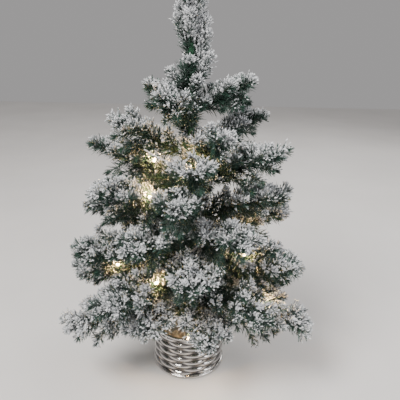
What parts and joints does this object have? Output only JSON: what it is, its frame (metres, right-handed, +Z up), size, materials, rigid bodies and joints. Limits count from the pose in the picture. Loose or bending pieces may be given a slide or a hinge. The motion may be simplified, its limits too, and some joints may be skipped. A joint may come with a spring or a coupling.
{
  "type": "artificial tabletop tree",
  "caption": "Snow-flocked tabletop tree with bendable branches and warm micro lights, standing in a bright basket-weave pot.",
  "frame": {"origin": "on the table under the middle of the pot", "axes": "+Z up along the trunk; -Y towards the viewer, the side with the shorter front branches and the light switch; +X to the viewer's right"},
  "size_m": [0.3731, 0.2947, 0.592],
  "materials": {
    "pot": "polished",
    "plaster": "matte",
    "housing": "satin",
    "door": "satin",
    "plated_steel": "satin",
    "battery": "satin",
    "board": "satin",
    "knob": "satin",
    "trunk_tape": "matte",
    "needles": "matte",
    "wire": "satin",
    "light": "gloss"
  },
  "bodies": {
    "stand": {"pot_shell": "pot", "ballast_plug": "plaster", "base_housing": "housing", "battery_1": "battery", "battery_2": "battery", "battery_3": "battery", "contact_front": "plated_steel", "contact_back": "plated_steel", "timer_board": "board", "trunk": "trunk_tape", "leader": "needles", "light_wire": "wire", "rim_light": "light"},
    "door": {"battery_door": "door", "door_screw": "plated_steel"},
    "switch": {"switch_knob": "knob"},
    "limb_1_1": {"branch_1_1": "needles"},
    "limb_1_2": {"branch_1_2": "needles"},
    "limb_1_3": {"branch_1_3": "needles"},
    "limb_1_4": {"branch_1_4": "needles", "light_1_4": "light"},
    "limb_1_5": {"branch_1_5": "needles"},
    "limb_1_6": {"branch_1_6": "needles"},
    "limb_1_7": {"branch_1_7": "needles"},
    "limb_2_1": {"branch_2_1": "needles", "light_2_1": "light"},
    "limb_2_2": {"branch_2_2": "needles", "light_2_2": "light"},
    "limb_2_3": {"branch_2_3": "needles"},
    "limb_2_4": {"branch_2_4": "needles"},
    "limb_2_5": {"branch_2_5": "needles"},
    "limb_3_1": {"branch_3_1": "needles"},
    "limb_3_2": {"branch_3_2": "needles"},
    "limb_3_3": {"branch_3_3": "needles", "light_3_3": "light"},
    "limb_3_4": {"branch_3_4": "needles"},
    "limb_3_5": {"branch_3_5": "needles"},
    "limb_4_1": {"branch_4_1": "needles"},
    "limb_4_2": {"branch_4_2": "needles"},
    "limb_4_3": {"branch_4_3": "needles"},
    "limb_4_4": {"branch_4_4": "needles"},
    "limb_4_5": {"branch_4_5": "needles", "light_4_5": "light"},
    "limb_5_1": {"branch_5_1": "needles", "light_5_1": "light"},
    "limb_5_2": {"branch_5_2": "needles"},
    "limb_5_3": {"branch_5_3": "needles"},
    "limb_5_4": {"branch_5_4": "needles"},
    "limb_6_1": {"branch_6_1": "needles", "light_6_1": "light"},
    "limb_6_2": {"branch_6_2": "needles", "light_6_2": "light"},
    "limb_6_3": {"branch_6_3": "needles"},
    "limb_6_4": {"branch_6_4": "needles"},
    "limb_7_1": {"branch_7_1": "needles"},
    "limb_7_2": {"branch_7_2": "needles"},
    "limb_7_3": {"branch_7_3": "needles"},
    "limb_8_1": {"branch_8_1": "needles"},
    "limb_8_2": {"branch_8_2": "needles"},
    "limb_8_3": {"branch_8_3": "needles"}
  },
  "joints": [
    {"name": "battery_door_off", "type": "slide", "parent": "stand", "child": "door", "axis": [0, 0, -1], "range_m": [0, 0.014]},
    {"name": "switch_slide", "type": "slide", "parent": "stand", "child": "switch", "axis": [1, 0, 0], "range_m": [0, 0.004]},
    {"name": "branch_1_1_bend", "type": "hinge", "parent": "stand", "child": "limb_1_1", "pos_m": [-0.006, -0.00319, 0.113], "axis": [-0.4695, 0.8829, 0], "range_deg": [-10, 28]},
    {"name": "branch_1_2_bend", "type": "hinge", "parent": "stand", "child": "limb_1_2", "pos_m": [-0.0035, -0.00583, 0.125], "axis": [-0.8572, 0.515, 0], "range_deg": [-10, 28]},
    {"name": "branch_1_3_bend", "type": "hinge", "parent": "stand", "child": "limb_1_3", "pos_m": [0.00199, -0.0065, 0.118], "axis": [-0.9563, -0.2924, 0], "range_deg": [-10, 28]},
    {"name": "branch_1_4_bend", "type": "hinge", "parent": "stand", "child": "limb_1_4", "pos_m": [0.00616, -0.00287, 0.118], "axis": [-0.4226, -0.9063, 0], "range_deg": [-10, 28]},
    {"name": "branch_1_5_bend", "type": "hinge", "parent": "stand", "child": "limb_1_5", "pos_m": [0.00606, 0.00309, 0.122], "axis": [0.454, -0.891, 0], "range_deg": [-10, 28]},
    {"name": "branch_1_6_bend", "type": "hinge", "parent": "stand", "child": "limb_1_6", "pos_m": [0.00024, 0.0068, 0.118], "axis": [0.9994, -0.0349, 0], "range_deg": [-10, 28]},
    {"name": "branch_1_7_bend", "type": "hinge", "parent": "stand", "child": "limb_1_7", "pos_m": [-0.00577, 0.0036, 0.122], "axis": [0.5299, 0.848, 0], "range_deg": [-10, 28]},
    {"name": "branch_2_1_bend", "type": "hinge", "parent": "stand", "child": "limb_2_1", "pos_m": [-0.0068, -0.00012, 0.148], "axis": [-0.0175, 0.9998, 0], "range_deg": [-11.07, 31]},
    {"name": "branch_2_2_bend", "type": "hinge", "parent": "stand", "child": "limb_2_2", "pos_m": [-0.00472, -0.00489, 0.152], "axis": [-0.7193, 0.6947, 0], "range_deg": [-11.07, 31]},
    {"name": "branch_2_3_bend", "type": "hinge", "parent": "stand", "child": "limb_2_3", "pos_m": [0.00437, -0.00521, 0.144], "axis": [-0.766, -0.6428, 0], "range_deg": [-11.07, 31]},
    {"name": "branch_2_4_bend", "type": "hinge", "parent": "stand", "child": "limb_2_4", "pos_m": [0.00673, 0.00095, 0.152], "axis": [0.1392, -0.9903, 0], "range_deg": [-11.07, 31]},
    {"name": "branch_2_5_bend", "type": "hinge", "parent": "stand", "child": "limb_2_5", "pos_m": [-0.00187, 0.00654, 0.15], "axis": [0.9613, 0.2756, 0], "range_deg": [-11.07, 31]},
    {"name": "branch_3_1_bend", "type": "hinge", "parent": "stand", "child": "limb_3_1", "pos_m": [-0.00639, -0.00233, 0.193], "axis": [-0.342, 0.9397, 0], "range_deg": [-12.14, 34]},
    {"name": "branch_3_2_bend", "type": "hinge", "parent": "stand", "child": "limb_3_2", "pos_m": [0.00047, -0.00678, 0.193], "axis": [-0.9976, -0.0698, 0], "range_deg": [-12.14, 34]},
    {"name": "branch_3_3_bend", "type": "hinge", "parent": "stand", "child": "limb_3_3", "pos_m": [0.00621, -0.00277, 0.182], "axis": [-0.4067, -0.9135, 0], "range_deg": [-12.14, 34]},
    {"name": "branch_3_4_bend", "type": "hinge", "parent": "stand", "child": "limb_3_4", "pos_m": [0.00489, 0.00472, 0.193], "axis": [0.6947, -0.7193, 0], "range_deg": [-12.14, 34]},
    {"name": "branch_3_5_bend", "type": "hinge", "parent": "stand", "child": "limb_3_5", "pos_m": [-0.00497, 0.00464, 0.185], "axis": [0.682, 0.7314, 0], "range_deg": [-12.14, 34]},
    {"name": "branch_4_1_bend", "type": "hinge", "parent": "stand", "child": "limb_4_1", "pos_m": [-0.00679, 0.00036, 0.236], "axis": [0.0523, 0.9986, 0], "range_deg": [-12.14, 34]},
    {"name": "branch_4_2_bend", "type": "hinge", "parent": "stand", "child": "limb_4_2", "pos_m": [-0.0036, -0.00577, 0.224], "axis": [-0.848, 0.5299, 0], "range_deg": [-12.14, 34]},
    {"name": "branch_4_3_bend", "type": "hinge", "parent": "stand", "child": "limb_4_3", "pos_m": [0.0036, -0.00577, 0.236], "axis": [-0.848, -0.5299, 0], "range_deg": [-12.14, 34]},
    {"name": "branch_4_4_bend", "type": "hinge", "parent": "stand", "child": "limb_4_4", "pos_m": [0.0067, 0.00118, 0.224], "axis": [0.1736, -0.9848, 0], "range_deg": [-12.14, 34]},
    {"name": "branch_4_5_bend", "type": "hinge", "parent": "stand", "child": "limb_4_5", "pos_m": [-0.00024, 0.0068, 0.23], "axis": [0.9994, 0.0349, 0], "range_deg": [-12.14, 34]},
    {"name": "branch_5_1_bend", "type": "hinge", "parent": "stand", "child": "limb_5_1", "pos_m": [-0.006, -0.00319, 0.272], "axis": [-0.4695, 0.8829, 0], "range_deg": [-9.64, 27]},
    {"name": "branch_5_2_bend", "type": "hinge", "parent": "stand", "child": "limb_5_2", "pos_m": [-0.00095, -0.00673, 0.28], "axis": [-0.9903, 0.1392, 0], "range_deg": [-9.64, 27]},
    {"name": "branch_5_3_bend", "type": "hinge", "parent": "stand", "child": "limb_5_3", "pos_m": [0.00639, -0.00233, 0.268], "axis": [-0.342, -0.9397, 0], "range_deg": [-9.64, 27]},
    {"name": "branch_5_4_bend", "type": "hinge", "parent": "stand", "child": "limb_5_4", "pos_m": [-0.00455, 0.00505, 0.278], "axis": [0.7431, 0.6691, 0], "range_deg": [-9.64, 27]},
    {"name": "branch_6_1_bend", "type": "hinge", "parent": "stand", "child": "limb_6_1", "pos_m": [-0.00673, 0.00095, 0.312], "axis": [0.1392, 0.9903, 0], "range_deg": [-8.93, 25]},
    {"name": "branch_6_2_bend", "type": "hinge", "parent": "stand", "child": "limb_6_2", "pos_m": [0.00047, -0.00678, 0.325], "axis": [-0.9976, -0.0698, 0], "range_deg": [-8.93, 25]},
    {"name": "branch_6_3_bend", "type": "hinge", "parent": "stand", "child": "limb_6_3", "pos_m": [0.00589, -0.0034, 0.325], "axis": [-0.5, -0.866, 0], "range_deg": [-8.93, 25]},
    {"name": "branch_6_4_bend", "type": "hinge", "parent": "stand", "child": "limb_6_4", "pos_m": [0.00319, 0.006, 0.324], "axis": [0.8829, -0.4695, 0], "range_deg": [-8.93, 25]},
    {"name": "branch_7_1_bend", "type": "hinge", "parent": "stand", "child": "limb_7_1", "pos_m": [-0.0063, -0.00255, 0.372], "axis": [-0.3746, 0.9272, 0], "range_deg": [-10, 28]},
    {"name": "branch_7_2_bend", "type": "hinge", "parent": "stand", "child": "limb_7_2", "pos_m": [0.00319, -0.006, 0.366], "axis": [-0.8829, -0.4695, 0], "range_deg": [-10, 28]},
    {"name": "branch_7_3_bend", "type": "hinge", "parent": "stand", "child": "limb_7_3", "pos_m": [0.00621, 0.00277, 0.37], "axis": [0.4067, -0.9135, 0], "range_deg": [-10, 28]},
    {"name": "branch_8_1_bend", "type": "hinge", "parent": "stand", "child": "limb_8_1", "pos_m": [-0.00255, -0.0063, 0.428], "axis": [-0.9272, 0.3746, 0], "range_deg": [-10, 28]},
    {"name": "branch_8_2_bend", "type": "hinge", "parent": "stand", "child": "limb_8_2", "pos_m": [0.00673, -0.00095, 0.44], "axis": [-0.1392, -0.9903, 0], "range_deg": [-10, 28]},
    {"name": "branch_8_3_bend", "type": "hinge", "parent": "stand", "child": "limb_8_3", "pos_m": [-0.00639, 0.00233, 0.436], "axis": [0.342, 0.9397, 0], "range_deg": [-10, 28]}
  ],
  "couplings": [
    {"joint": "branch_1_2_bend", "follows": "branch_1_1_bend", "ratio": 1},
    {"joint": "branch_1_3_bend", "follows": "branch_1_1_bend", "ratio": 1},
    {"joint": "branch_1_4_bend", "follows": "branch_1_1_bend", "ratio": 1},
    {"joint": "branch_1_5_bend", "follows": "branch_1_1_bend", "ratio": 1},
    {"joint": "branch_1_6_bend", "follows": "branch_1_1_bend", "ratio": 1},
    {"joint": "branch_1_7_bend", "follows": "branch_1_1_bend", "ratio": 1},
    {"joint": "branch_2_1_bend", "follows": "branch_1_1_bend", "ratio": 1.1071},
    {"joint": "branch_2_2_bend", "follows": "branch_1_1_bend", "ratio": 1.1071},
    {"joint": "branch_2_3_bend", "follows": "branch_1_1_bend", "ratio": 1.1071},
    {"joint": "branch_2_4_bend", "follows": "branch_1_1_bend", "ratio": 1.1071},
    {"joint": "branch_2_5_bend", "follows": "branch_1_1_bend", "ratio": 1.1071},
    {"joint": "branch_3_1_bend", "follows": "branch_1_1_bend", "ratio": 1.2143},
    {"joint": "branch_3_2_bend", "follows": "branch_1_1_bend", "ratio": 1.2143},
    {"joint": "branch_3_3_bend", "follows": "branch_1_1_bend", "ratio": 1.2143},
    {"joint": "branch_3_4_bend", "follows": "branch_1_1_bend", "ratio": 1.2143},
    {"joint": "branch_3_5_bend", "follows": "branch_1_1_bend", "ratio": 1.2143},
    {"joint": "branch_4_1_bend", "follows": "branch_1_1_bend", "ratio": 1.2143},
    {"joint": "branch_4_2_bend", "follows": "branch_1_1_bend", "ratio": 1.2143},
    {"joint": "branch_4_3_bend", "follows": "branch_1_1_bend", "ratio": 1.2143},
    {"joint": "branch_4_4_bend", "follows": "branch_1_1_bend", "ratio": 1.2143},
    {"joint": "branch_4_5_bend", "follows": "branch_1_1_bend", "ratio": 1.2143},
    {"joint": "branch_5_1_bend", "follows": "branch_1_1_bend", "ratio": 0.96429},
    {"joint": "branch_5_2_bend", "follows": "branch_1_1_bend", "ratio": 0.96429},
    {"joint": "branch_5_3_bend", "follows": "branch_1_1_bend", "ratio": 0.96429},
    {"joint": "branch_5_4_bend", "follows": "branch_1_1_bend", "ratio": 0.96429},
    {"joint": "branch_6_1_bend", "follows": "branch_1_1_bend", "ratio": 0.89286},
    {"joint": "branch_6_2_bend", "follows": "branch_1_1_bend", "ratio": 0.89286},
    {"joint": "branch_6_3_bend", "follows": "branch_1_1_bend", "ratio": 0.89286},
    {"joint": "branch_6_4_bend", "follows": "branch_1_1_bend", "ratio": 0.89286},
    {"joint": "branch_7_1_bend", "follows": "branch_1_1_bend", "ratio": 1},
    {"joint": "branch_7_2_bend", "follows": "branch_1_1_bend", "ratio": 1},
    {"joint": "branch_7_3_bend", "follows": "branch_1_1_bend", "ratio": 1},
    {"joint": "branch_8_1_bend", "follows": "branch_1_1_bend", "ratio": 1},
    {"joint": "branch_8_2_bend", "follows": "branch_1_1_bend", "ratio": 1},
    {"joint": "branch_8_3_bend", "follows": "branch_1_1_bend", "ratio": 1}
  ]
}
